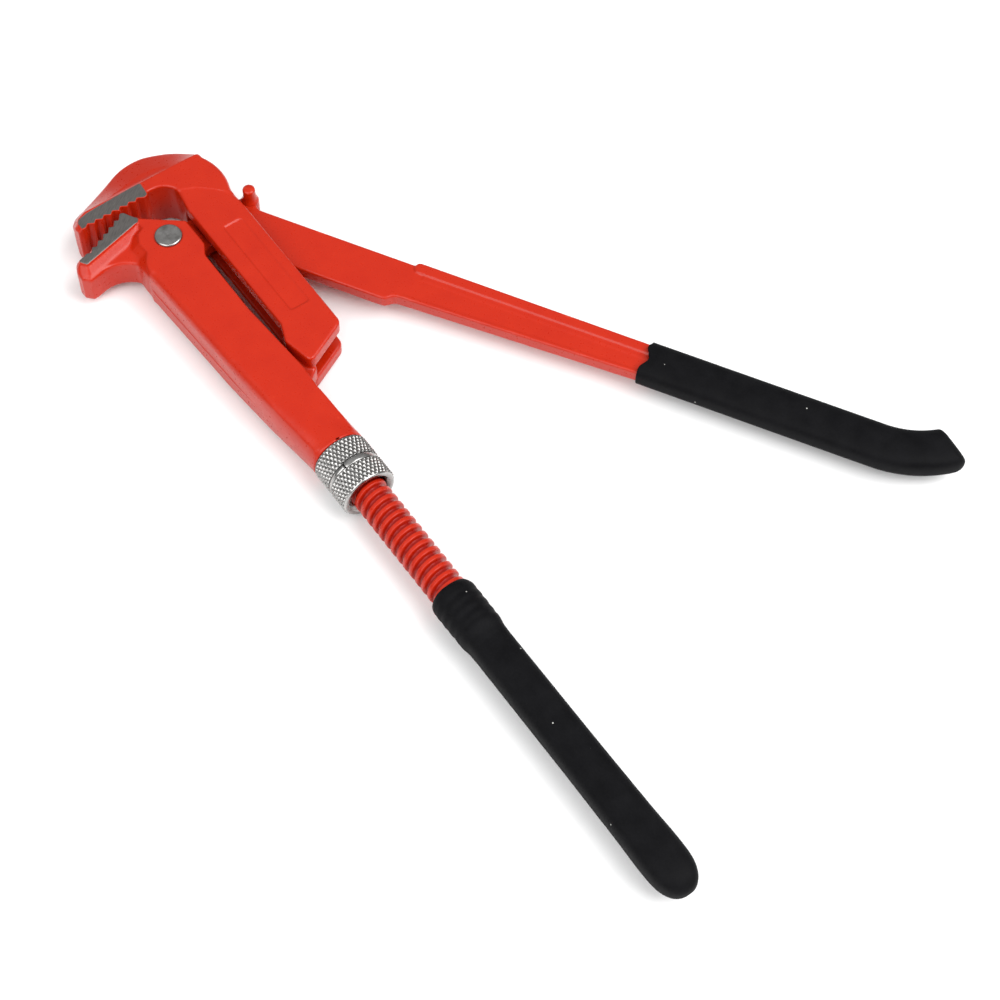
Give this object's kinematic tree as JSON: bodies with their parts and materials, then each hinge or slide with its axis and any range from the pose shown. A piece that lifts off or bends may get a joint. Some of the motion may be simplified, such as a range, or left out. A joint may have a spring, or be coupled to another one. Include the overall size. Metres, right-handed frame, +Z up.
{
  "type": "pipe wrench",
  "caption": "Swedish-pattern pipe wrench: a toothed hook jaw on a screw, closed by a knurled nut, and a lever handle pivoted in the body that presses on the hook's back.",
  "frame": {"origin": "on the pivot rivet's axis, at the rivet's flush lower end, which is level with the body's lower face", "axes": "+X along the screw handle, away from the jaws; +Y towards the lever handle, in the plane of the tool; +Z up, along the rivet, towards its domed head"},
  "size_m": [0.2878, 0.1762, 0.0175],
  "materials": {
    "red_paint": "satin",
    "plated_steel": "satin",
    "black_pvc": "matte"
  },
  "bodies": {
    "frame": {"body": "red_paint", "pivot_rivet": "plated_steel"},
    "screw": {"screw_handle": "red_paint", "toe_pin": "plated_steel", "screw_grip": "black_pvc"},
    "nut": {"adjusting_nut": "plated_steel", "retaining_ring": "plated_steel"},
    "lever_arm": {"lever": "red_paint", "stud_pin": "red_paint", "lever_grip": "black_pvc"},
    "hook": {"hook_jaw": "red_paint"}
  },
  "joints": [
    {"name": "rod_slide", "type": "slide", "parent": "frame", "child": "screw", "axis": [1, 0, 0], "range_m": [-0.03, 0.0005]},
    {"name": "nut_spin", "type": "hinge", "parent": "frame", "child": "nut", "pos_m": [0.098, 0.0013, 0.008], "axis": [1, 0, 0], "range_deg": [-60, 3600]},
    {"name": "lever_pivot", "type": "hinge", "parent": "frame", "child": "lever_arm", "pos_m": [0, 0, 0.008], "axis": [0, 0, 1], "range_deg": [-22, 2]},
    {"name": "hook_pivot", "type": "hinge", "parent": "screw", "child": "hook", "pos_m": [0.062, 0.0013, 0.008], "axis": [0, 0, 1], "range_deg": [-0.2, 1.6]}
  ],
  "couplings": [
    {"joint": "nut_spin", "follows": "rod_slide", "rad_per_m": -2094.4},
    {"joint": "hook_pivot", "follows": "lever_pivot", "ratio": -0.068}
  ]
}
